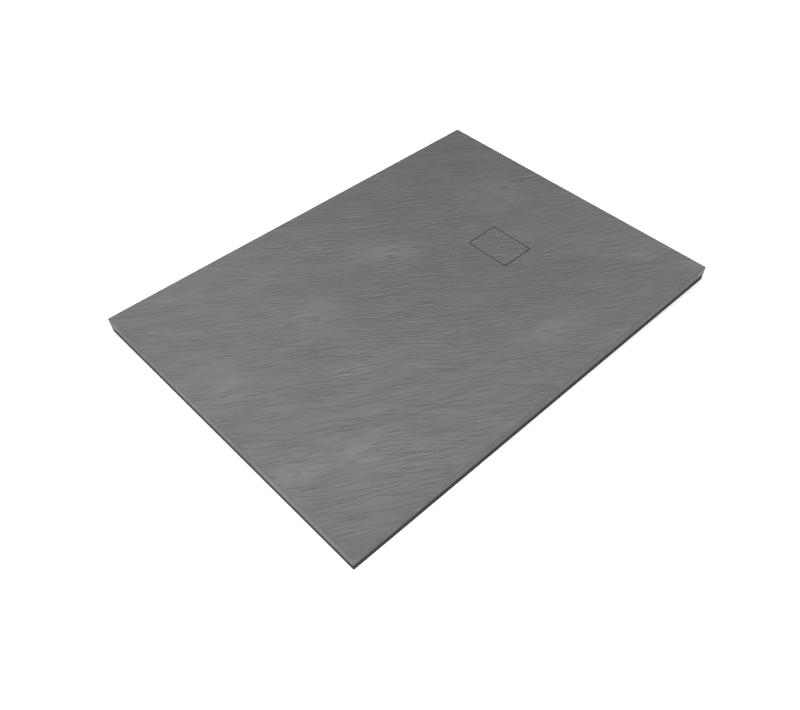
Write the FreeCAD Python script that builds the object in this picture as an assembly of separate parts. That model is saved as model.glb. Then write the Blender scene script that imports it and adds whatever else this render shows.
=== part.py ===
"""A shower tray: a slate-faced resin casting that falls to a drain under a flush, lift-out cover.

The tray lies on its underside, z = 0, with its outline centred on the origin: X along its length,
Y across, +Z up. The drain stands nearer to the +X end. All sizes are in millimetres.
"""

import FreeCAD
import Part

import math
import os

# tray outline and top
tray_length = 1200.0
tray_width = 900.0
tray_height = 40.0
surface_fall = 12.0       # from the rim down to the mouth of the drain recess
rim_round = 3.0           # rounding along the top edge
corner_round = 2.5        # rounding of the four upright corners
skin_thickness = 1.3      # slate facing, on the tray and on the cover
skin_lap = 23.0           # how far the facing comes down the sides
band_set_back = 0.4       # the casting below the lap stays this far inside the outline

# drain position and cover
drain_x = 289.0
drain_y = -12.0
cover_length = 97.5       # along X
cover_width = 128.0       # along Y
cover_thickness = 6.0     # facing included
cover_corner = 1.5        # upright corners
cover_edge_round = 1.0    # top edge
cover_gap = 2.0           # open all round the cover
cover_clearance = 2.5     # between the cover and the recess floor, the height of its feet

# cover feet
foot_radius = 5.0
foot_peg_radius = 2.5
foot_peg_length = 3.0
foot_edge = 3.0           # from the foot's side to the side of the cover's casting

# underside of the casting
rim_wall = 24.0           # solid border round the underside
rib_width = 16.0
pocket_limit = 101.0      # no pocket is wider
pocket_depth = 18.0
pocket_corner = 8.0
pocket_least = 24.0       # narrower ones are left solid
drain_land = 18.0         # solid casting kept round the recess and round the waste's pocket
service_clearance = 7.0   # between the waste body and its pocket, room for a trap's nut

# clamping flange, set into the recess floor
flange_radius = 42.5
flange_thickness = 2.0
flange_edge_round = 0.8
seat_clearance = 1.5      # round the flange
gasket_thickness = 1.5
gasket_inset = 0.5        # a gasket's edge stays this far inside the flange's
floor_thickness = 5.0     # tray floor round the waste hole, facing included

# waste body
collar_bore_radius = 21.5
collar_radius = 31.5
hole_clearance = 1.0      # between the collar and the waste hole
collar_gap = 0.5          # the collar stops short of the flange, so that the gaskets are clamped
body_flange_radius = 42.0
body_flange_thickness = 2.5
tail_radius = 23.9        # G 1 1/2 male thread, over its crests
tail_bore_radius = 19.0
tail_end_height = 1.0     # the tail stays this far above the tray's underside
tail_chamfer = 1.0
ledge_height = 5.5        # the strainer's ledge, below the collar's top

# screws and their inserts
screw_count = 4
screw_circle_radius = 26.8
screw_radius = 2.0
screw_head_radius = 3.6
screw_head_height = 1.6
screw_length = 10.0
screw_hole_clearance = 0.3
screw_end_clearance = 1.0 # below the screw's tip
countersink_clearance = 0.1
drive_radius = 1.3        # six-sided drive in the head
drive_depth = 1.0
insert_radius = 2.9
insert_length = 7.0
insert_thread_clearance = 0.05
insert_knurl_depth = 0.3

# strainer
strainer_clearance = 0.5  # between its rim and the collar's bore
strainer_sink = 0.5       # its rim below the flange's top
basket_gap = 1.7          # between the basket and the tail's bore
basket_wall = 1.2
basket_end_height = 3.5
basket_slot_count = 12
basket_slot_width = 3.0
basket_slot_margin = 1.5  # above and below each slot
floor_hole_radius = 1.5
floor_hole_pitch = 4.6
finger_bar_width = 4.0
finger_bar_height = 2.6
finger_bar_sink = 0.6     # below the rim
seal_radius = 1.1         # the O-ring's section
seal_clearance = 0.3      # between the O-ring and the collar's bore
seal_groove_clearance = 0.1

# what follows from the sizes above
mouth_height = tray_height - surface_fall
mouth_length = cover_length + 2 * cover_gap
mouth_width = cover_width + 2 * cover_gap
mouth_corner = cover_corner + cover_gap / 2
cover_under = mouth_height - cover_thickness
recess_floor = cover_under - cover_clearance
seat_floor = recess_floor - flange_thickness - gasket_thickness
seat_radius = flange_radius + seat_clearance
flange_under = seat_floor + gasket_thickness
floor_under = seat_floor - floor_thickness
body_flange_top = floor_under - gasket_thickness
body_flange_under = body_flange_top - body_flange_thickness
waste_hole_radius = collar_radius + hole_clearance
collar_top = flange_under - collar_gap
ledge_top = collar_top - ledge_height
service_radius = body_flange_radius + service_clearance
strainer_radius = collar_bore_radius - strainer_clearance
strainer_top = recess_floor - strainer_sink
basket_radius = tail_bore_radius - basket_gap
basket_inside = basket_radius - basket_wall
basket_floor_top = basket_end_height + basket_wall
seal_centre_radius = collar_bore_radius - seal_clearance - seal_radius
seal_height = (ledge_top + strainer_top) / 2 - seal_radius

overrun = 5.0             # how far a cutting shape runs past what it cuts


def prism(length, width, low, high, corner=0.0, x=0.0, y=0.0):
    """Upright block centred on x, y with its four upright edges rounded."""
    block = Part.makeBox(length, width, high - low, FreeCAD.Vector(x - length / 2, y - width / 2, low))
    if corner <= 0:
        return block
    upright = [edge for edge in block.Edges if is_upright(edge)]
    return block.makeFillet(corner, upright)


def is_upright(edge):
    start, end = edge.Vertexes[0].Point, edge.Vertexes[-1].Point
    return abs(start.x - end.x) < 1e-6 and abs(start.y - end.y) < 1e-6


def disc(radius, low, high, x=0.0, y=0.0):
    """Upright cylinder."""
    return Part.makeCylinder(radius, high - low, FreeCAD.Vector(x, y, low))


def ring(inner, outer, low, high):
    return disc(outer, low, high).cut(disc(inner, low - overrun, high + overrun))


def at_drain(shape):
    """Move a shape modelled about the Z axis to the drain."""
    moved = shape.copy()
    moved.translate(FreeCAD.Vector(drain_x, drain_y, 0))
    return moved


def around(radius, count, start_degrees=0.0):
    """Points spaced evenly round a circle about the Z axis."""
    for index in range(count):
        angle = math.radians(start_degrees + 360.0 * index / count)
        yield radius * math.cos(angle), radius * math.sin(angle)


def revolved(profile):
    """Solid of revolution about the Z axis from (radius, height) points."""
    points = [FreeCAD.Vector(radius, 0, height) for radius, height in profile]
    face = Part.Face(Part.makePolygon(points + points[:1]))
    return face.revolve(FreeCAD.Vector(0, 0, 0), FreeCAD.Vector(0, 0, 1), 360)


def edges_at(shape, height, radius=None):
    """Edges lying level at a height, and on a circle of that radius where one is given."""
    found = []
    for edge in shape.Edges:
        box = edge.BoundBox
        level = abs(box.ZMin - height) < 1e-5 and abs(box.ZMax - height) < 1e-5
        if level and (radius is None or abs(box.XLength / 2 - radius) < 1e-3):
            found.append(edge)
    return found


def falls_block(drop):
    """Block under the four falls: flat facets from the outline down to the recess's mouth."""
    half_x, half_y = tray_length / 2, tray_width / 2
    signs = [(-1, -1), (1, -1), (1, 1), (-1, 1)]
    under = [FreeCAD.Vector(sx * half_x, sy * half_y, 0) for sx, sy in signs]
    rim = [FreeCAD.Vector(sx * half_x, sy * half_y, tray_height - drop) for sx, sy in signs]
    mouth = [
        FreeCAD.Vector(drain_x + sx * mouth_length / 2, drain_y + sy * mouth_width / 2, mouth_height - drop)
        for sx, sy in signs
    ]
    loops = [under, mouth]
    for index in range(4):
        after = (index + 1) % 4
        loops.append([under[index], under[after], rim[after], rim[index]])
        loops.append([rim[index], rim[after], mouth[after], mouth[index]])
    faces = [Part.Face(Part.makePolygon(loop + loop[:1])) for loop in loops]
    block = Part.makeSolid(Part.makeShell(faces))
    if block.Volume < 0:
        block.reverse()
    return block


def rim_cutter(length, run, inset):
    """What the rounding takes off one top edge, along X, for an edge on the outline's -Y side.

    length is the edge's length, and run the level distance over which its facet falls.
    """
    slope = math.atan2(surface_fall, run)
    radius = rim_round - inset
    top = tray_height - inset / math.cos(slope)
    centre_y = inset + radius
    centre_z = top - centre_y * math.tan(slope) - radius / math.cos(slope)
    start = FreeCAD.Vector(0, inset, centre_z)
    lean = (slope + math.pi) / 2
    middle = FreeCAD.Vector(0, centre_y + radius * math.cos(lean), centre_z + radius * math.sin(lean))
    end = FreeCAD.Vector(0, centre_y + radius * math.sin(slope), centre_z + radius * math.cos(slope))
    above = FreeCAD.Vector(0, end.y, tray_height + overrun)
    outside = FreeCAD.Vector(0, -overrun, tray_height + overrun)
    beside = FreeCAD.Vector(0, -overrun, centre_z)
    edges = [Part.Arc(start, middle, end).toShape()]
    corners = [end, above, outside, beside, start]
    edges += [Part.makeLine(a, b) for a, b in zip(corners, corners[1:])]
    face = Part.Face(Part.Wire(edges))
    cutter = face.extrude(FreeCAD.Vector(length + 2 * overrun, 0, 0))
    cutter.translate(FreeCAD.Vector(-length / 2 - overrun, 0, 0))
    return cutter


def rim_cutters(inset):
    """The four roundings of the top edge, each placed on its own side."""
    half_x, half_y = tray_length / 2, tray_width / 2
    sides = [
        (tray_length, half_y, drain_y - mouth_width / 2 + half_y, 0),
        (tray_width, half_x, half_x - drain_x - mouth_length / 2, 90),
        (tray_length, half_y, half_y - drain_y - mouth_width / 2, 180),
        (tray_width, half_x, drain_x - mouth_length / 2 + half_x, 270),
    ]
    cutters = []
    for length, reach, run, turn in sides:
        cutter = rim_cutter(length, run, inset)
        cutter.translate(FreeCAD.Vector(0, -reach, 0))
        cutter.rotate(FreeCAD.Vector(0, 0, 0), FreeCAD.Vector(0, 0, 1), turn)
        cutters.append(cutter)
    return cutters


def drain_recess(inset):
    """The stepped hollow for the cover and the flange, grown by inset on its walls and floors."""
    top = tray_height + overrun
    mouth = prism(
        mouth_length + 2 * inset, mouth_width + 2 * inset, recess_floor - inset, top, mouth_corner + inset
    )
    seat = disc(seat_radius + inset, seat_floor - inset, top)
    hole = disc(waste_hole_radius, -overrun, top)
    return at_drain(mouth.fuse([seat, hole]))


def tray_form(inset):
    """The tray with no hollows underneath, drawn in by inset all over its top, sides and recess."""
    outline = prism(
        tray_length - 2 * inset, tray_width - 2 * inset, 0, tray_height, corner_round - inset
    )
    form = falls_block(inset).common(outline)
    return form.cut(rim_cutters(inset)).cut(drain_recess(inset))


def slate_skin():
    """Facing over the falls, the rim and the upper sides, and down into the recess."""
    under_lap = tray_height - skin_lap
    casting = prism(
        tray_length - 2 * skin_thickness, tray_width - 2 * skin_thickness,
        -overrun, under_lap, corner_round - skin_thickness,
    )
    lower_band = prism(tray_length + overrun, tray_width + overrun, -overrun, under_lap).cut(casting)
    return tray_form(0).cut(tray_form(skin_thickness)).cut(lower_band)


def pocket_spans(length):
    """Starts and ends of equal pockets between ribs along one direction of the underside."""
    inner = length - 2 * rim_wall
    count = max(1, math.ceil((inner + rib_width) / (pocket_limit + rib_width)))
    size = (inner - (count - 1) * rib_width) / count
    first = -inner / 2
    return [(first + i * (size + rib_width), first + i * (size + rib_width) + size) for i in range(count)]


def clear_of_land(low_x, high_x, low_y, high_y):
    """Trim a pocket back from the solid land round the drain, or return None where little is left."""
    half_x = max(mouth_length / 2, service_radius) + drain_land
    half_y = max(mouth_width / 2, service_radius) + drain_land
    land = (drain_x - half_x, drain_x + half_x, drain_y - half_y, drain_y + half_y)
    if high_x <= land[0] or low_x >= land[1] or high_y <= land[2] or low_y >= land[3]:
        return low_x, high_x, low_y, high_y
    choices = [
        (low_x, land[0], low_y, high_y),
        (land[1], high_x, low_y, high_y),
        (low_x, high_x, low_y, land[2]),
        (low_x, high_x, land[3], high_y),
    ]
    roomy = [c for c in choices if c[1] - c[0] >= pocket_least and c[3] - c[2] >= pocket_least]
    return max(roomy, key=lambda c: (c[1] - c[0]) * (c[3] - c[2]), default=None)


def underside_pockets():
    pockets = []
    for low_x, high_x in pocket_spans(tray_length - 2 * skin_thickness):
        for low_y, high_y in pocket_spans(tray_width - 2 * skin_thickness):
            spot = clear_of_land(low_x, high_x, low_y, high_y)
            if spot is None:
                continue
            x0, x1, y0, y1 = spot
            pockets.append(prism(
                x1 - x0, y1 - y0, -overrun, pocket_depth, pocket_corner, (x0 + x1) / 2, (y0 + y1) / 2
            ))
    return pockets


def cast_base():
    """The casting: a deck on ribs, solid round the drain, with a round pocket for the waste body.

    Below the facing's lap it stands out almost to the outline.
    """
    band = prism(
        tray_length - 2 * band_set_back, tray_width - 2 * band_set_back,
        0, tray_height - skin_lap, corner_round - band_set_back,
    )
    service_pocket = at_drain(disc(service_radius, -overrun, floor_under))
    form = tray_form(skin_thickness).fuse(band).removeSplitter()
    return form.cut(drain_recess(skin_thickness)).cut(underside_pockets() + [service_pocket])


def cover_block(inset):
    """The cover's outer form, drawn in by inset on its top and sides."""
    block = prism(
        cover_length - 2 * inset, cover_width - 2 * inset,
        cover_under, mouth_height - inset, cover_corner - inset,
    )
    if inset > 0:
        return block
    return block.makeFillet(cover_edge_round, edges_at(block, mouth_height))


def foot_places():
    reach_x = cover_length / 2 - skin_thickness - foot_edge - foot_radius
    reach_y = cover_width / 2 - skin_thickness - foot_edge - foot_radius
    return [(sx * reach_x, sy * reach_y) for sx in (-1, 1) for sy in (-1, 1)]


def cover_skin():
    return at_drain(cover_block(0).cut(cover_block(skin_thickness)))


def cover_plate():
    """The cover's casting, with a blind hole for each foot's peg."""
    peg_holes = [
        disc(foot_peg_radius, cover_under - overrun, cover_under + foot_peg_length, x, y)
        for x, y in foot_places()
    ]
    return at_drain(cover_block(skin_thickness).cut(peg_holes))


def cover_feet():
    feet = []
    for x, y in foot_places():
        pad = disc(foot_radius, recess_floor, cover_under, x, y)
        peg = disc(foot_peg_radius, cover_under - cover_clearance / 2, cover_under + foot_peg_length, x, y)
        feet.append(pad.fuse(peg).removeSplitter())
    return at_drain(Part.makeCompound(feet))


def screw_places():
    return list(around(screw_circle_radius, screw_count, 45.0))


def waste_flange():
    """Pressed ring with a rounded outer edge and a countersunk hole for each screw."""
    plate = ring(collar_bore_radius, flange_radius, flange_under, recess_floor)
    plate = plate.makeFillet(flange_edge_round, edges_at(plate, recess_floor, flange_radius))
    cutters = []
    for x, y in screw_places():
        cutters.append(disc(
            screw_radius + screw_hole_clearance, flange_under - overrun, recess_floor + overrun, x, y
        ))
        cutters.append(Part.makeCone(
            screw_radius + countersink_clearance, screw_head_radius + countersink_clearance,
            screw_head_height, FreeCAD.Vector(x, y, recess_floor - screw_head_height),
        ))
    return at_drain(plate.cut(cutters))


def hexagon(radius, low, high, x, y):
    corners = [FreeCAD.Vector(x + cx, y + cy, low) for cx, cy in around(radius, 6)]
    return Part.Face(Part.makePolygon(corners + corners[:1])).extrude(FreeCAD.Vector(0, 0, high - low))


def flange_screws():
    screws = []
    for x, y in screw_places():
        under_head = recess_floor - screw_head_height
        head = Part.makeCone(
            screw_radius, screw_head_radius, screw_head_height, FreeCAD.Vector(x, y, under_head)
        )
        shank = disc(screw_radius, recess_floor - screw_length, under_head, x, y)
        drive = hexagon(drive_radius, recess_floor - drive_depth, recess_floor + overrun, x, y)
        screws.append(head.fuse(shank).cut(drive))
    return at_drain(Part.makeCompound(screws))


def gasket(low):
    return at_drain(ring(waste_hole_radius + gasket_inset, flange_radius - gasket_inset, low,
                         low + gasket_thickness))


def waste_body():
    """Tail, flange and collar in one moulding, bored through, with a ledge for the strainer."""
    body = revolved([
        (tail_bore_radius, tail_end_height),
        (tail_radius - tail_chamfer, tail_end_height),
        (tail_radius, tail_end_height + tail_chamfer),
        (tail_radius, body_flange_under),
        (body_flange_radius, body_flange_under),
        (body_flange_radius, body_flange_top),
        (collar_radius, body_flange_top),
        (collar_radius, collar_top),
        (collar_bore_radius, collar_top),
        (collar_bore_radius, ledge_top),
        (tail_bore_radius, ledge_top),
    ])
    sockets = [
        disc(insert_radius, collar_top - insert_length, collar_top + overrun, x, y)
        for x, y in screw_places()
    ]
    drill_end = recess_floor - screw_length - screw_end_clearance
    drills = [
        disc(screw_radius + screw_hole_clearance, drill_end, collar_top, x, y)
        for x, y in screw_places()
    ]
    return at_drain(body.cut(sockets + drills))


def screw_inserts():
    """Brass inserts with a waist between their two knurled bands."""
    inserts = []
    for x, y in screw_places():
        low = collar_top - insert_length
        band = insert_length / 3
        barrel = disc(insert_radius, low, collar_top, x, y)
        waist_core = disc(insert_radius - insert_knurl_depth, low + band, collar_top - band, x, y)
        waist = disc(insert_radius + overrun, low + band, collar_top - band, x, y).cut(waist_core)
        bore = disc(screw_radius + insert_thread_clearance, low - overrun, collar_top + overrun, x, y)
        inserts.append(barrel.cut([waist, bore]))
    return at_drain(Part.makeCompound(inserts))


def strainer_holes():
    """Holes through the basket's floor, in rings about a central one, and slots through its wall."""
    low, high = basket_end_height - overrun, basket_floor_top + overrun / 2
    holes = [disc(floor_hole_radius, low, high)]
    ring_radius = floor_hole_pitch
    while ring_radius + floor_hole_radius + basket_wall < basket_inside:
        count = int(2 * math.pi * ring_radius / floor_hole_pitch)
        holes += [disc(floor_hole_radius, low, high, x, y) for x, y in around(ring_radius, count)]
        ring_radius += floor_hole_pitch
    slot_low = basket_floor_top + basket_slot_margin
    slot_high = ledge_top - basket_slot_margin
    for index in range(basket_slot_count):
        slot = Part.makeBox(
            basket_radius + overrun - basket_inside / 2, basket_slot_width, slot_high - slot_low,
            FreeCAD.Vector(basket_inside / 2, -basket_slot_width / 2, slot_low),
        )
        slot.rotate(FreeCAD.Vector(0, 0, 0), FreeCAD.Vector(0, 0, 1), 360.0 * index / basket_slot_count)
        holes.append(slot)
    return holes


def hair_strainer():
    """Basket under a thick rim that seats on the ledge, with a bar across to lift it by."""
    groove_bottom = seal_centre_radius - seal_radius - seal_groove_clearance
    groove_half = seal_radius + seal_groove_clearance
    shell = revolved([
        (0, basket_end_height),
        (basket_radius, basket_end_height),
        (basket_radius, ledge_top),
        (strainer_radius, ledge_top),
        (strainer_radius, seal_height - groove_half),
        (groove_bottom, seal_height - groove_half),
        (groove_bottom, seal_height + groove_half),
        (strainer_radius, seal_height + groove_half),
        (strainer_radius, strainer_top),
        (basket_inside, strainer_top),
        (basket_inside, basket_floor_top),
        (0, basket_floor_top),
    ])
    bar_top = strainer_top - finger_bar_sink
    bar_reach = (basket_inside + groove_bottom) / 2
    bar = prism(finger_bar_width, 2 * bar_reach, bar_top - finger_bar_height, bar_top)
    return at_drain(shell.cut(strainer_holes()).fuse(bar).removeSplitter())


def strainer_seal():
    return at_drain(Part.makeTorus(seal_centre_radius, seal_radius, FreeCAD.Vector(0, 0, seal_height)))


nodes = {
    "slate_skin": slate_skin(),
    "cast_base": cast_base(),
    "cover_skin": cover_skin(),
    "cover_plate": cover_plate(),
    "cover_feet": cover_feet(),
    "waste_flange": waste_flange(),
    "flange_screws": flange_screws(),
    "flange_gasket": gasket(seat_floor),
    "waste_body": waste_body(),
    "body_gasket": gasket(body_flange_top),
    "screw_inserts": screw_inserts(),
    "hair_strainer": hair_strainer(),
    "strainer_seal": strainer_seal(),
}

os.makedirs("parts", exist_ok=True)
for name, shape in nodes.items():
    box = shape.BoundBox
    print(
        f"{name:15} solids {len(shape.Solids)} valid {shape.isValid()} volume {shape.Volume / 1000:9.1f} cm3"
        f"  x {box.XMin:.1f}..{box.XMax:.1f}  y {box.YMin:.1f}..{box.YMax:.1f}"
        f"  z {box.ZMin:.1f}..{box.ZMax:.1f}"
    )
    shape.exportStep(f"parts/{name}.step")
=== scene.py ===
import math

import bpy
from mathutils import Matrix, Vector


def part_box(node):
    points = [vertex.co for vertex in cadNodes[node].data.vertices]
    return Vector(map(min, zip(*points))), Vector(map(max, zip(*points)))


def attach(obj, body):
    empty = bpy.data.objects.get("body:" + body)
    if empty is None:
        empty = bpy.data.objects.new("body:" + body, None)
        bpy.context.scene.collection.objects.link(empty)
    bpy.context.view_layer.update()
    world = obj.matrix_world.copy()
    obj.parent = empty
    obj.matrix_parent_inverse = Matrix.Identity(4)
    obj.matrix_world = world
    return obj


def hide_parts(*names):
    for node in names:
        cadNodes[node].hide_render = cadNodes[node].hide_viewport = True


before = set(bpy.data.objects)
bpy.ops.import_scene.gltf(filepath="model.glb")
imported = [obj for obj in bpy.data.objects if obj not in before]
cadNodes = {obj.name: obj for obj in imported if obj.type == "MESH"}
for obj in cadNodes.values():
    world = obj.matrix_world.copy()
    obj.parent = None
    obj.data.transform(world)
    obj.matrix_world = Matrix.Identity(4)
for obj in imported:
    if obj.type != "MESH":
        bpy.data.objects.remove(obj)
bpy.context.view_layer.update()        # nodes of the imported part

mm = 0.001
print("frame loaded:", len(cadNodes), "nodes")


def toLinear(hexColour):
    channels = [int(hexColour[i:i + 2], 16) / 255 for i in (1, 3, 5)]
    return [c / 12.92 if c <= 0.04045 else ((c + 0.055) / 1.055) ** 2.4 for c in channels] + [1.0]


def addNode(tree, kind, inputs=None, **settings):
    # an input's value is a constant, a socket, or a node whose first live output feeds it
    node = tree.nodes.new(kind)
    for name, value in settings.items():
        setattr(node, name, value)
    for key, value in (inputs or {}).items():
        socket = node.inputs[key] if isinstance(key, int) else next(
            s for s in node.inputs if s.name == key and s.enabled)
        if isinstance(value, bpy.types.Node):
            value = next(s for s in value.outputs if s.enabled)
        if isinstance(value, bpy.types.NodeSocket):
            tree.links.new(value, socket)
        else:
            socket.default_value = value
    return node


def selectOnly(piece):
    bpy.ops.object.select_all(action="DESELECT")
    piece.select_set(True)
    bpy.context.view_layer.objects.active = piece


def applyAllModifiers(piece):
    selectOnly(piece)
    for modifier in list(piece.modifiers):
        bpy.ops.object.modifier_apply(modifier=modifier.name)


merge = {
    "distance": 0.01,            # millimetres
    "flatAngle": 0.1,            # degrees
}


def copyOfNode(nodeName, pieceName):
    # a CAD node's mesh is loose triangles, so the copy is merged and its flat faces are made whole
    piece = cadNodes[nodeName].copy()
    piece.data = cadNodes[nodeName].data.copy()
    piece.name = pieceName
    piece.parent = None
    for key in list(piece.keys()):
        del piece[key]
    bpy.context.scene.collection.objects.link(piece)
    selectOnly(piece)
    bpy.ops.object.mode_set(mode="EDIT")
    bpy.ops.mesh.select_all(action="SELECT")
    bpy.ops.mesh.remove_doubles(threshold=merge["distance"] * mm)
    bpy.ops.mesh.dissolve_limited(angle_limit=math.radians(merge["flatAngle"]))
    bpy.ops.object.mode_set(mode="OBJECT")
    return piece


def paint(piece, *materials):
    piece.data.materials.clear()
    for material in materials:
        piece.data.materials.append(material)


noiseMiddle = 0.5
noiseReach = (0.3, 0.7)          # nearly all of a noise's values lie between these

# Slate face, used for the tray's facing and the cover's: sizes in millimetres.
# Layers end in long low steps, and creases run beside them in sheaves that cross at a small angle.
slate = {
    "streakTurn": 36.0,          # degrees clockwise from the length, seen from above
    "bendLength": 260.0,         # the streaks bend slowly
    "bendReach": 9.0,
    "rippleLength": 60.0,        # and ripple a little on the way
    "rippleReach": 2.0,
    "bendSquash": 1.2,           # both change this much faster across the streaks
    "layerLength": 150.0,
    "layerWidth": 46.0,
    "layerCount": 9.0,
    "layerStep": 0.07,           # height of one layer
    "layerEdge": 0.25,           # share of a layer taken by its worn edge
    "fibreLength": 22.0,         # low ridges that cover everything
    "fibreWidth": 8.5,
    "fibreHeight": 1.25,
    "fibreSeed": 12.9,
    "middleDepth": 0.45,         # the surface lies this far under the moulded outline on average,
    "leastDepth": 0.04,          # never nearer to it than this
    "mostDepth": 1.12,           # and never deeper than this, which leaves a skin over the casting
    "grainLength": 13.0,
    "grainWidth": 2.8,
    "grainDepth": 0.2,
    "grainSeed": 3.1,
}
creaseSheaves = [                # turn in degrees from the streaks, line as a share of the noise
    {"turn": -9.0, "length": 120.0, "width": 10.0, "line": 0.07, "depth": 0.30,
     "patch": 130.0, "seed": 31.7},
    {"turn": 2.0, "length": 85.0, "width": 8.5, "line": 0.08, "depth": 0.24,
     "patch": 105.0, "seed": 58.1},
]
creasePatches = {                # shares of a noise between which a sheaf fades in
    "bare": 0.38,
    "full": 0.56,
    "narrower": 3.0,             # than they are long
}
clouds = {                       # in millimetres: middles as x, y and radius
    "middles": [(-540, 80, 110), (-250, 140, 105), (40, 170, 100), (450, 150, 105),
                (-250, -130, 90), (-420, -290, 110), (-540, -230, 90), (150, -310, 105)],
    "stretch": 1.5,              # along the streaks
    "wispLength": 150.0,
    "wispWidth": 70.0,
    "wispSeed": 5.2,
    "clear": 0.3,                # shares of the wisps' noise between which a cloud thickens
    "thick": 0.6,
    "flatter": 0.5,              # share of the relief that is lost in a cloud's middle
}


def streakBend(tree, place):
    # how far the streaks swing sideways here, in millimetres
    shifts = []
    for name in ("bend", "ripple"):
        length, reach = slate[name + "Length"], slate[name + "Reach"]
        across = slate["bendSquash"] / length
        stretched = addNode(tree, "ShaderNodeVectorMath", {0: place, 1: (1 / length, across, across)},
                            operation="MULTIPLY")
        wave = addNode(tree, "ShaderNodeTexNoise", {"Vector": stretched, "Scale": 1.0, "Detail": 0.0})
        shifts.append(addNode(tree, "ShaderNodeMapRange",
                              {"Value": wave, "To Min": -reach, "To Max": reach}, clamp=False))
    shift = addNode(tree, "ShaderNodeMath", {0: shifts[0], 1: shifts[1]}, operation="ADD")
    return addNode(tree, "ShaderNodeCombineXYZ", {"Y": shift})


def turnedPlace(tree, place):
    # a place in metres, as millimetres along and across the streaks' general run
    inMm = addNode(tree, "ShaderNodeVectorMath", {0: place, "Scale": 1 / mm}, operation="SCALE")
    return addNode(tree, "ShaderNodeVectorRotate",
                   {"Vector": inMm, "Angle": math.radians(slate["streakTurn"])}, rotation_type="Z_AXIS")


def streakPlace(tree, place):
    # the same with the streaks' bends taken out
    turned = turnedPlace(tree, place)
    return addNode(tree, "ShaderNodeVectorMath", {0: turned, 1: streakBend(tree, turned)}, operation="ADD")


def streakNoise(tree, place, length, width, detail, shift=0.0):
    scaled = addNode(tree, "ShaderNodeVectorMath",
                     {0: place, 1: (1 / length, 1 / width, 1 / width), 2: (shift, shift, 0.0)},
                     operation="MULTIPLY_ADD")
    return addNode(tree, "ShaderNodeTexNoise", {"Vector": scaled, "Scale": 1.0, "Detail": detail})


def layerHeight(tree, place):
    # flat treads with a steeper edge between them, about the middle layer
    noise = streakNoise(tree, place, slate["layerLength"], slate["layerWidth"], 1.0)
    level = addNode(tree, "ShaderNodeMath", {0: noise, 1: slate["layerCount"]}, operation="MULTIPLY")
    tread = addNode(tree, "ShaderNodeMath", {0: level}, operation="FLOOR")
    rise = addNode(tree, "ShaderNodeMath", {0: level, 1: tread}, operation="SUBTRACT")
    edge = addNode(tree, "ShaderNodeMapRange", {"Value": rise, "From Max": slate["layerEdge"]},
                   interpolation_type="SMOOTHSTEP")
    height = addNode(tree, "ShaderNodeMath", {0: tread, 1: edge}, operation="ADD")
    middle = slate["layerCount"] * slate["layerStep"] / 2
    return addNode(tree, "ShaderNodeMath", {0: height, 1: slate["layerStep"], 2: -middle},
                   operation="MULTIPLY_ADD")


def fibreHeight(tree, place):
    noise = streakNoise(tree, place, slate["fibreLength"], slate["fibreWidth"], 1.0, slate["fibreSeed"])
    return addNode(tree, "ShaderNodeMath",
                   {0: noise, 1: slate["fibreHeight"], 2: -slate["fibreHeight"] / 2},
                   operation="MULTIPLY_ADD")


def creaseDepth(tree, place):
    # thin grooves that come and go, in sheaves, in millimetres
    total = None
    for sheaf in creaseSheaves:
        turned = addNode(tree, "ShaderNodeVectorRotate",
                         {"Vector": place, "Angle": math.radians(sheaf["turn"])}, rotation_type="Z_AXIS")
        noise = streakNoise(tree, turned, sheaf["length"], sheaf["width"], 0.0, sheaf["seed"])
        off = addNode(tree, "ShaderNodeMath", {0: noise, 1: noiseMiddle}, operation="SUBTRACT")
        away = addNode(tree, "ShaderNodeMath", {0: off}, operation="ABSOLUTE")
        line = addNode(tree, "ShaderNodeMapRange",
                       {"Value": away, "From Max": sheaf["line"], "To Min": sheaf["depth"], "To Max": 0.0},
                       interpolation_type="SMOOTHSTEP")
        patches = streakNoise(tree, turned, sheaf["patch"], sheaf["patch"] / creasePatches["narrower"],
                              0.0, sheaf["seed"] / 2)
        patch = addNode(tree, "ShaderNodeMapRange", {"Value": patches, "From Min": creasePatches["bare"],
                                                     "From Max": creasePatches["full"]},
                        interpolation_type="SMOOTHSTEP")
        groove = addNode(tree, "ShaderNodeMath", {0: line, 1: patch}, operation="MULTIPLY")
        total = groove if total is None else addNode(tree, "ShaderNodeMath", {0: total, 1: groove})
    return total


def cloudShare(tree, place):
    # soft blots where the pigment floated up and the relief is flatter: 1 in their middle, 0 outside
    turned = turnedPlace(tree, place)
    squeezed = addNode(tree, "ShaderNodeVectorMath", {0: turned, 1: (1 / clouds["stretch"], 1.0, 0.0)},
                       operation="MULTIPLY")
    total = None
    for x, y, radius in clouds["middles"]:
        middle = Matrix.Rotation(math.radians(slate["streakTurn"]), 2) @ Vector((x, y))
        away = addNode(tree, "ShaderNodeVectorMath",
                       {0: squeezed, 1: (middle.x / clouds["stretch"], middle.y, 0.0)},
                       operation="DISTANCE")
        spot = addNode(tree, "ShaderNodeMapRange",
                       {"Value": away.outputs["Value"], "From Max": radius, "To Min": 1.0, "To Max": 0.0},
                       interpolation_type="SMOOTHSTEP")
        total = spot if total is None else addNode(tree, "ShaderNodeMath", {0: total, 1: spot},
                                                   operation="MAXIMUM")
    wisps = streakNoise(tree, turned, clouds["wispLength"], clouds["wispWidth"], 3.0, clouds["wispSeed"])
    ragged = addNode(tree, "ShaderNodeMapRange",
                     {"Value": wisps, "From Min": clouds["clear"], "From Max": clouds["thick"]},
                     interpolation_type="SMOOTHSTEP")
    return addNode(tree, "ShaderNodeMath", {0: total, 1: ragged}, operation="MULTIPLY")


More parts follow.
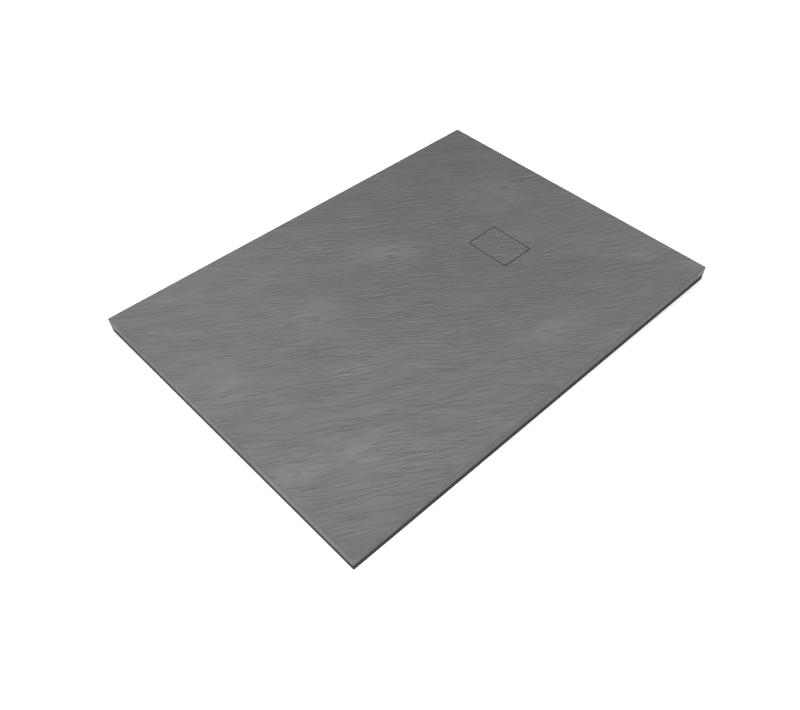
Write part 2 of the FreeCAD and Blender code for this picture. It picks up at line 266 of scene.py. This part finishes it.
def reliefDepth(tree, place):
    # how far the surface lies under the moulded outline, in millimetres
    streaks = streakPlace(tree, place)
    ridges = addNode(tree, "ShaderNodeMath", {0: layerHeight(tree, streaks), 1: fibreHeight(tree, streaks)})
    sharp = addNode(tree, "ShaderNodeMath", {0: cloudShare(tree, place), 1: -clouds["flatter"], 2: 1.0},
                    operation="MULTIPLY_ADD")
    softened = addNode(tree, "ShaderNodeMath", {0: ridges, 1: sharp}, operation="MULTIPLY")
    depth = addNode(tree, "ShaderNodeMath", {0: slate["middleDepth"], 1: softened}, operation="SUBTRACT")
    creases = addNode(tree, "ShaderNodeMath", {0: creaseDepth(tree, streaks), 1: sharp},
                      operation="MULTIPLY")
    total = addNode(tree, "ShaderNodeMath", {0: depth, 1: creases})
    return addNode(tree, "ShaderNodeClamp",
                   {"Value": total, "Min": slate["leastDepth"], "Max": slate["mostDepth"]})


riving = {
    "fallTilt": 0.99,            # a fall's normal rises more than this
    "turns": 3,                  # slides of the grid that bring its rows on to the bent streaks
    "margin": 1.02,              # the grid is this much larger than the piece
    "blockHeight": 20.0,         # millimetres
    "topTilt": 0.88,             # a riven face's normal rises more than this
    "smoothAngle": 32.0,         # degrees: sharper edges stay sharp
}


def fallPlanes(piece, count):
    # the largest upward faces, as (x slope, y slope, height at the origin)
    up = [face for face in piece.data.polygons if face.normal.z > riving["fallTilt"]]
    up.sort(key=lambda face: face.area, reverse=True)
    planes = []
    for face in up[:count]:
        normal, centre = face.normal, face.center
        planes.append((-normal.x / normal.z, -normal.y / normal.z, centre.dot(normal) / normal.z))
    return planes


def fallHeight(tree, spot, planes):
    # the falls make a hollow, so the highest plane is the surface
    height = None
    for slopeX, slopeY, base in planes:
        along = addNode(tree, "ShaderNodeVectorMath", {0: spot, 1: (slopeX, slopeY, 0.0)},
                        operation="DOT_PRODUCT")
        plane = addNode(tree, "ShaderNodeMath", {0: along.outputs["Value"], 1: base}, operation="ADD")
        height = plane if height is None else addNode(tree, "ShaderNodeMath", {0: height, 1: plane},
                                                      operation="MAXIMUM")
    return height


def reliefModifier(piece, planes):
    # sets every point of a flat grid to the falls' height less the relief
    tree = bpy.data.node_groups.new("slateRelief", "GeometryNodeTree")
    tree.interface.new_socket("Geometry", in_out="INPUT", socket_type="NodeSocketGeometry")
    tree.interface.new_socket("Geometry", in_out="OUTPUT", socket_type="NodeSocketGeometry")
    start = addNode(tree, "NodeGroupInput")
    turned = turnedPlace(tree, addNode(tree, "GeometryNodeInputPosition"))
    followed = turned
    for _ in range(riving["turns"]):
        followed = addNode(tree, "ShaderNodeVectorMath", {0: turned, 1: streakBend(tree, followed)},
                           operation="SUBTRACT")
    level = addNode(tree, "ShaderNodeVectorRotate",
                    {"Vector": followed, "Angle": -math.radians(slate["streakTurn"])},
                    rotation_type="Z_AXIS")
    spot = addNode(tree, "ShaderNodeVectorMath", {0: level, "Scale": mm}, operation="SCALE")
    height = fallHeight(tree, spot, planes)
    parts = addNode(tree, "ShaderNodeSeparateXYZ", {"Vector": spot})
    lifted = addNode(tree, "ShaderNodeCombineXYZ",
                     {"X": parts.outputs["X"], "Y": parts.outputs["Y"], "Z": height})
    depth = reliefDepth(tree, lifted)
    inMetres = addNode(tree, "ShaderNodeMath", {0: depth, 1: mm}, operation="MULTIPLY")
    surface = addNode(tree, "ShaderNodeMath", {0: height, 1: inMetres}, operation="SUBTRACT")
    place = addNode(tree, "ShaderNodeCombineXYZ",
                    {"X": parts.outputs["X"], "Y": parts.outputs["Y"], "Z": surface})
    moved = addNode(tree, "GeometryNodeSetPosition", {"Geometry": start, "Position": place})
    addNode(tree, "NodeGroupOutput", {"Geometry": moved})
    modifier = piece.modifiers.new("relief", "NODES")
    modifier.node_group = tree


def reliefCutter(low, high, facing, planes):
    # a block whose underside is the riven surface: a fine grid laid along the streaks, closed above
    centre = (low + high) / 2
    half = (high - low) / 2 * riving["margin"] + Vector((1, 1, 0)) * slate["bendReach"] * mm
    turn = math.radians(slate["streakTurn"])
    reachAlong = half.x * math.cos(turn) + half.y * math.sin(turn)
    reachAcross = half.x * math.sin(turn) + half.y * math.cos(turn)
    bpy.ops.object.select_all(action="DESELECT")
    bpy.ops.mesh.primitive_grid_add(
        x_subdivisions=round(2 * reachAlong / (facing["cellAlong"] * mm)),
        y_subdivisions=round(2 * reachAcross / (facing["cellAcross"] * mm)),
        size=2, location=(centre.x, centre.y, high.z), rotation=(0, 0, -turn),
    )
    cutter = bpy.context.active_object
    cutter.scale = (reachAlong, reachAcross, 1)
    bpy.ops.object.transform_apply(location=True, rotation=True, scale=True)
    reliefModifier(cutter, planes)
    applyAllModifiers(cutter)
    bpy.ops.object.mode_set(mode="EDIT")
    bpy.ops.mesh.select_mode(type="EDGE")
    bpy.ops.mesh.select_all(action="DESELECT")
    bpy.ops.mesh.select_non_manifold()
    bpy.ops.mesh.extrude_region_move(TRANSFORM_OT_translate={"value": (0, 0, riving["blockHeight"] * mm)})
    bpy.ops.transform.resize(value=(1, 1, 0))
    bpy.ops.mesh.edge_face_add()
    bpy.ops.mesh.select_all(action="SELECT")
    bpy.ops.mesh.normals_make_consistent(inside=False)
    bpy.ops.object.mode_set(mode="OBJECT")
    return cutter


def markTopEdge(piece):
    # the riven face stays apart from the rounding in its shading
    bpy.ops.object.mode_set(mode="EDIT")
    bpy.ops.mesh.select_mode(type="FACE")
    bpy.ops.mesh.select_all(action="DESELECT")
    bpy.ops.object.mode_set(mode="OBJECT")
    for face in piece.data.polygons:
        face.select = face.normal.z > riving["topTilt"]
    bpy.ops.object.mode_set(mode="EDIT")
    bpy.ops.mesh.region_to_loop()
    bpy.ops.mesh.mark_sharp()
    bpy.ops.object.mode_set(mode="OBJECT")


def rivenCopy(nodeName, pieceName, facing):
    # a copy of a moulded CAD skin with the riven surface cut into it
    piece = copyOfNode(nodeName, pieceName)
    low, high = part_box(nodeName)
    cutter = reliefCutter(low, high, facing, fallPlanes(piece, facing["falls"]))
    cut = piece.modifiers.new("rive", "BOOLEAN")
    cut.operation = "DIFFERENCE"
    cut.solver = "MANIFOLD"
    cut.object = cutter
    applyAllModifiers(piece)
    bpy.data.objects.remove(cutter)
    selectOnly(piece)
    markTopEdge(piece)
    bpy.ops.object.shade_smooth_by_angle(angle=math.radians(riving["smoothAngle"]))
    return piece


def newMaterial(name, roughness, **settings):
    # a Principled shader with its fixed values set on its own sockets
    material = bpy.data.materials.new(name)
    material.use_nodes = True
    tree = material.node_tree
    shader = tree.nodes["Principled BSDF"]
    shader.inputs["Roughness"].default_value = roughness
    for key, value in settings.items():
        shader.inputs[key.replace("_", " ")].default_value = value
    place = addNode(tree, "ShaderNodeTexCoord").outputs["Object"]
    return material, tree, shader, place


def evenNoise(tree, place, sizeMm, detail):
    scaled = addNode(tree, "ShaderNodeVectorMath", {0: place, "Scale": 1 / (sizeMm * mm)},
                     operation="SCALE")
    return addNode(tree, "ShaderNodeTexNoise", {"Vector": scaled, "Scale": 1.0, "Detail": detail})


def slateFacing(name, grey, paleGrey):
    # Slate-effect resin: a matt gelcoat over a riven mould, so soft highlights on the layers' edges,
    # lighter clouds where the pigment thinned, and painted shade that darkens the creases.
    look = {
        "mottleLength": 120.0,   # millimetres
        "mottleWidth": 36.0,
        "mottleSeed": 7.7,
        "cloudGrey": "#59595c",
        # painted shade: the creases are coloured towards this darker grey
        "creaseShadeGrey": "#484849",
        "creaseShare": 0.9,      # of the creases' depth is added again as bump, which sharpens them
    }
    material, tree, shader, place = newMaterial(name, roughness=0.5, IOR=1.5)
    streaks = streakPlace(tree, place)
    patches = streakNoise(tree, streaks, look["mottleLength"], look["mottleWidth"], 3.0, look["mottleSeed"])
    mottle = addNode(tree, "ShaderNodeMapRange",
                     {"Value": patches, "From Min": noiseReach[0], "From Max": noiseReach[1]})
    body = addNode(tree, "ShaderNodeMix", {"Factor": mottle, "A": toLinear(grey), "B": toLinear(paleGrey)},
                   data_type="RGBA")
    clouded = addNode(tree, "ShaderNodeMix", {"Factor": cloudShare(tree, place), "A": body.outputs[2],
                                              "B": toLinear(look["cloudGrey"])}, data_type="RGBA")
    # painted shade: the deeper a crease, the nearer its colour comes to the creases' dark grey
    crease = creaseDepth(tree, streaks)
    creases = addNode(tree, "ShaderNodeMapRange", {"Value": crease, "From Max": creaseSheaves[0]["depth"]})
    colour = addNode(tree, "ShaderNodeMix", {"Factor": creases, "A": clouded.outputs[2],
                                             "B": toLinear(look["creaseShadeGrey"])}, data_type="RGBA")
    tree.links.new(colour.outputs[2], shader.inputs["Base Color"])
    grain = streakNoise(tree, streaks, slate["grainLength"], slate["grainWidth"], 2.0, slate["grainSeed"])
    grainMm = addNode(tree, "ShaderNodeMath", {0: grain, 1: slate["grainDepth"]}, operation="MULTIPLY")
    height = addNode(tree, "ShaderNodeMath", {0: crease, 1: -look["creaseShare"], 2: grainMm},
                     operation="MULTIPLY_ADD")
    bump = addNode(tree, "ShaderNodeBump", {"Height": height, "Distance": mm, "Strength": 1.0})
    tree.links.new(bump.outputs["Normal"], shader.inputs["Normal"])
    return material


def resinCasting():
    # Mineral casting: polyester filled with marble flour, ground on its edges, so a dark dull grey
    # with fine pale specks and a slightly pitted skin.
    look = {
        "grey": "#1e1e1f",
        "speck": "#2a2a2b",
        "speckSize": 2.2,        # millimetres
        "speckReach": (0.55, 0.7),   # of a noise's values: a speck shows from the first on
        "pitSize": 1.4,
        "pitDepth": 0.05,
    }
    material, tree, shader, place = newMaterial("mineralCasting", roughness=0.8, IOR=1.5,
                                                Specular_IOR_Level=0.2)
    specks = evenNoise(tree, place, look["speckSize"], 2.0)
    speck = addNode(tree, "ShaderNodeMapRange",
                    {"Value": specks, "From Min": look["speckReach"][0], "From Max": look["speckReach"][1]})
    colour = addNode(tree, "ShaderNodeMix", {"Factor": speck, "A": toLinear(look["grey"]),
                                             "B": toLinear(look["speck"])}, data_type="RGBA")
    tree.links.new(colour.outputs[2], shader.inputs["Base Color"])
    pits = evenNoise(tree, place, look["pitSize"], 2.0)
    pitMm = addNode(tree, "ShaderNodeMath", {0: pits, 1: look["pitDepth"]}, operation="MULTIPLY")
    bump = addNode(tree, "ShaderNodeBump", {"Height": pitMm, "Distance": mm, "Strength": 1.0})
    tree.links.new(bump.outputs["Normal"], shader.inputs["Normal"])
    return material


def finish(tree, shader, look, patches, relief):
    # patches move the colour and the dullness between the look's two values, relief is its bump
    colour = addNode(tree, "ShaderNodeMix", {"Factor": patches[0], "A": toLinear(look["colours"][0]),
                                             "B": toLinear(look["colours"][1])}, data_type="RGBA")
    tree.links.new(colour.outputs[2], shader.inputs["Base Color"])
    rough = addNode(tree, "ShaderNodeMapRange",
                    {"Value": patches[1], "From Min": noiseReach[0], "From Max": noiseReach[1],
                     "To Min": look["dullness"][0], "To Max": look["dullness"][1]})
    tree.links.new(rough.outputs["Result"], shader.inputs["Roughness"])
    bump = addNode(tree, "ShaderNodeBump",
                   {"Height": relief, "Distance": look["reliefDepth"] * mm, "Strength": 1.0})
    tree.links.new(bump.outputs["Normal"], shader.inputs["Normal"])


def brushedSteel():
    # Stainless sheet, brushed on a lathe: rings round the waste that draw the highlights out along them.
    look = {
        "colours": ("#bcbcb8", "#a3a3a0"),
        "patchSize": 9.0,        # millimetres
        "dullness": (0.22, 0.42),
        "ringWidth": 0.3,
        "ringRun": 5.0,          # how often a ring changes on its way round
        "reliefDepth": 0.006,
    }
    low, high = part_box("waste_flange")
    middle = (low + high) / 2
    material, tree, shader, place = newMaterial("brushedStainless", roughness=0.3, Metallic=1.0)
    centred = addNode(tree, "ShaderNodeVectorMath", {0: place, 1: (middle.x, middle.y, 0.0)},
                      operation="SUBTRACT")
    flat = addNode(tree, "ShaderNodeVectorMath", {0: centred, 1: (1.0, 1.0, 0.0)}, operation="MULTIPLY")
    radius = addNode(tree, "ShaderNodeVectorMath", {0: flat}, operation="LENGTH")
    heading = addNode(tree, "ShaderNodeVectorMath", {0: flat}, operation="NORMALIZE")
    run = addNode(tree, "ShaderNodeVectorMath", {0: heading, "Scale": look["ringRun"]}, operation="SCALE")
    ring = addNode(tree, "ShaderNodeMath", {0: radius.outputs["Value"], 1: 1 / (look["ringWidth"] * mm)},
                   operation="MULTIPLY")
    ringPlace = addNode(tree, "ShaderNodeVectorMath",
                        {0: run, 1: addNode(tree, "ShaderNodeCombineXYZ", {"Z": ring})}, operation="ADD")
    rings = addNode(tree, "ShaderNodeTexNoise", {"Vector": ringPlace, "Scale": 1.0, "Detail": 2.0})
    finish(tree, shader, look, (evenNoise(tree, place, look["patchSize"], 2.0), rings), rings)
    return material


def mouldedPlastic():
    # ABS from a spark-eroded mould: a fine even grain, satin, with faint flow marks.
    look = {
        "colours": ("#28292b", "#303134"),
        "patchSize": 14.0,       # millimetres
        "dullness": (0.36, 0.48),
        "grainSize": 0.5,
        "reliefDepth": 0.02,
    }
    material, tree, shader, place = newMaterial("mouldedPlastic", roughness=0.4, IOR=1.5)
    flow = evenNoise(tree, place, look["patchSize"], 3.0)
    finish(tree, shader, look, (flow, flow), evenNoise(tree, place, look["grainSize"], 2.0))
    return material


def mouldedRubber():
    # EPDM: dull black with a greyish bloom in patches and the mould's dry skin.
    look = {
        "colours": ("#191919", "#242424"),
        "patchSize": 6.0,        # millimetres
        "dullness": (0.66, 0.85),
        "grainSize": 0.35,
        "reliefDepth": 0.015,
    }
    material, tree, shader, place = newMaterial("mouldedRubber", roughness=0.75, IOR=1.5)
    bloom = evenNoise(tree, place, look["patchSize"], 4.0)
    finish(tree, shader, look, (bloom, bloom), evenNoise(tree, place, look["grainSize"], 2.0))
    return material


def turnedBrass():
    # Free-cutting brass, a little tarnished: warm, with a fine dry turning mark.
    look = {
        "colours": ("#bd9a58", "#96753a"),
        "patchSize": 2.5,        # millimetres
        "dullness": (0.24, 0.42),
        "grainSize": 0.2,
        "reliefDepth": 0.006,
    }
    material, tree, shader, place = newMaterial("turnedBrass", roughness=0.32, Metallic=1.0)
    tarnish = evenNoise(tree, place, look["patchSize"], 3.0)
    finish(tree, shader, look, (tarnish, tarnish), evenNoise(tree, place, look["grainSize"], 1.0))
    return material


slateMaterial = slateFacing("slateResinFacing", "#48484b", "#505053")
# the same slate facing in a darker grey for the tray's sides: painted shade
slateShadedSidesMaterial = slateFacing("slateResinSidesShaded", "#2e2e2f", "#353536")
castingMaterial = resinCasting()
rubberMaterial = mouldedRubber()
steelMaterial = brushedSteel()
mouldingMaterial = mouldedPlastic()
brassMaterial = turnedBrass()
finishes = {
    "cast_base": castingMaterial,
    "cover_plate": castingMaterial,
    "cover_feet": rubberMaterial,
    "waste_flange": steelMaterial,
    "flange_screws": steelMaterial,
    "flange_gasket": rubberMaterial,
    "waste_body": mouldingMaterial,
    "body_gasket": rubberMaterial,
    "screw_inserts": brassMaterial,
    "hair_strainer": mouldingMaterial,
    "strainer_seal": rubberMaterial,
}
for name, material in finishes.items():
    paint(cadNodes[name], material)
print("materials on", len(finishes), "carried-over nodes")

# The tray's facing: riven on top, its sides painted a darker slate grey as painted shade, and its recess
# painted with the dark casting as painted shade
trayFacing = {
    "cellAlong": 9.0,            # the relief's grid, in millimetres along and across the streaks
    "cellAcross": 1.45,
    "falls": 4,
    "sideTilt": 0.35,            # a face whose normal rises less than this is a side
    "recessMargin": 3.0,         # millimetres past the cover's sides
    "recessRim": 1.2,            # millimetres below the cover's top
}
slateSkin = rivenCopy("slate_skin", "slateSkin", trayFacing)
paint(slateSkin, slateMaterial, slateShadedSidesMaterial, castingMaterial)
coverLow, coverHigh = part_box("cover_skin")
coverMiddle = (coverLow + coverHigh) / 2
recessReach = (coverHigh - coverLow) / 2 + Vector((1, 1, 0)) * trayFacing["recessMargin"] * mm
# painted shade: upright faces get the darker slate copy, and faces in the recess get the dark casting
for face in slateSkin.data.polygons:
    away = face.center - coverMiddle
    upright = abs(face.normal.z) < trayFacing["sideTilt"]
    low = face.center.z < coverHigh.z - trayFacing["recessRim"] * mm
    inRecess = abs(away.x) < recessReach.x and abs(away.y) < recessReach.y
    # painted shade: the recess walls and floor take the dark casting, which darkens the gap round the cover
    if inRecess and (upright or low):
        face.material_index = 2
    elif upright:
        face.material_index = 1
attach(slateSkin, "tray")
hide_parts("slate_skin")
print("tray facing:", len(slateSkin.data.polygons), "faces")

# The cover's facing: its sawn sides show the dark casting, and the rounding of its top edge gets it too, as
# painted shade along the gap
coverFacing = {
    "cellAlong": 3.0,            # millimetres
    "cellAcross": 0.8,
    "falls": 1,
    "topTilt": 0.8,              # a face whose normal rises less than this isn't part of the top and gets the casting: the sawn sides, and the rounding as painted shade
}
coverSkin = rivenCopy("cover_skin", "coverSkin", coverFacing)
paint(coverSkin, slateMaterial, castingMaterial)
# painted shade: the rounding of the top edge gets the dark casting along with the sawn sides
for face in coverSkin.data.polygons:
    face.material_index = 1 if face.normal.z < coverFacing["topTilt"] else 0
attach(coverSkin, "cover")
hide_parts("cover_skin")
print("cover facing:", len(coverSkin.data.polygons), "faces")


# Studio: a white floor, soft lights and the photograph's viewpoint
studio = {
    "floorSide": 16.0,           # metres
    "floorWhite": "#f4f4f4",
    "floorDull": 0.9,
    "floorGlow": 0.45,           # lit from below too, so that no shadow shows grey
    "skyWhite": "#ffffff",
    "skyStrength": 0.08,
    "boxSide": 1.2,
    "boxDistance": 3.0,
}
bpy.ops.object.select_all(action="DESELECT")
bpy.ops.mesh.primitive_plane_add(size=studio["floorSide"], location=(0, 0, 0))
floor = bpy.context.active_object
floor.name = "floor"
floorMaterial = bpy.data.materials.new("paintedFloor")
floorMaterial.use_nodes = True
floorShader = floorMaterial.node_tree.nodes["Principled BSDF"]
floorShader.inputs["Base Color"].default_value = toLinear(studio["floorWhite"])
floorShader.inputs["Roughness"].default_value = studio["floorDull"]
floorShader.inputs["Emission Color"].default_value = toLinear(studio["floorWhite"])
floorShader.inputs["Emission Strength"].default_value = studio["floorGlow"]
paint(floor, floorMaterial)

world = bpy.data.worlds.new("studio")
world.use_nodes = True
sky = world.node_tree.nodes["Background"]
sky.inputs["Color"].default_value = toLinear(studio["skyWhite"])
sky.inputs["Strength"].default_value = studio["skyStrength"]
bpy.context.scene.world = world


def addSoftbox(name, azimuth, elevation, power):
    place = studio["boxDistance"] * Vector((math.cos(azimuth) * math.cos(elevation),
                                            math.sin(azimuth) * math.cos(elevation), math.sin(elevation)))
    bpy.ops.object.light_add(type="AREA", location=place)
    light = bpy.context.active_object
    light.name = name
    light.data.shape = "SQUARE"
    light.data.size = studio["boxSide"]
    light.data.energy = power
    light.rotation_euler = (-place).to_track_quat("-Z", "Y").to_euler()


softboxes = {                    # azimuth and elevation in degrees, power in watts
    "keyLow": (225, 18, 105),    # rakes across the streaks from the camera's side
    "sideLow": (135, 18, 17),
    "overheadFar": (90, 66, 25),
    "overheadBack": (45, 66, 30),
    "overheadNear": (0, 66, 19),
    "windowFar": (90, 42, 23),
    "windowNear": (0, 42, 23),
}
for name, (azimuth, elevation, power) in softboxes.items():
    addSoftbox(name, math.radians(azimuth), math.radians(elevation), power)

view = {
    "azimuth": -45.350,          # degrees, from looking along +Y
    "elevation": 51.328,
    "roll": 0.858,
    "distance": 1.6985,          # metres
    "target": (-0.2090, -0.2872, 0.0),
    "focalPixels": 757.74,
    "widthPixels": 800,
    "shiftPixels": (39.05, 56.84),
    "sensor": 36.0,              # millimetres
    "clipEnd": 100.0,
}


def addCamera():
    azimuth, elevation, roll = (math.radians(view[key]) for key in ("azimuth", "elevation", "roll"))
    back = Vector((math.sin(azimuth) * math.cos(elevation), -math.cos(azimuth) * math.cos(elevation),
                   math.sin(elevation)))
    right = Vector((math.cos(azimuth), math.sin(azimuth), 0))
    up = back.cross(right)
    rolledRight = right * math.cos(roll) + up * math.sin(roll)
    rolledUp = up * math.cos(roll) - right * math.sin(roll)
    data = bpy.data.cameras.new("photoCamera")
    data.sensor_width = view["sensor"]
    data.lens = view["focalPixels"] * view["sensor"] / view["widthPixels"]
    data.shift_x = -view["shiftPixels"][0] / view["widthPixels"]
    data.shift_y = view["shiftPixels"][1] / view["widthPixels"]
    data.clip_end = view["clipEnd"]
    camera = bpy.data.objects.new("photoCamera", data)
    bpy.context.scene.collection.objects.link(camera)
    turn = Matrix((rolledRight, rolledUp, back)).transposed()
    place = Vector(view["target"]) + back * view["distance"]
    camera.matrix_world = Matrix.Translation(place) @ turn.to_4x4()
    return camera


bpy.context.scene.camera = addCamera()
bpy.context.scene.view_settings.view_transform = "Standard"
print("studio and camera set")
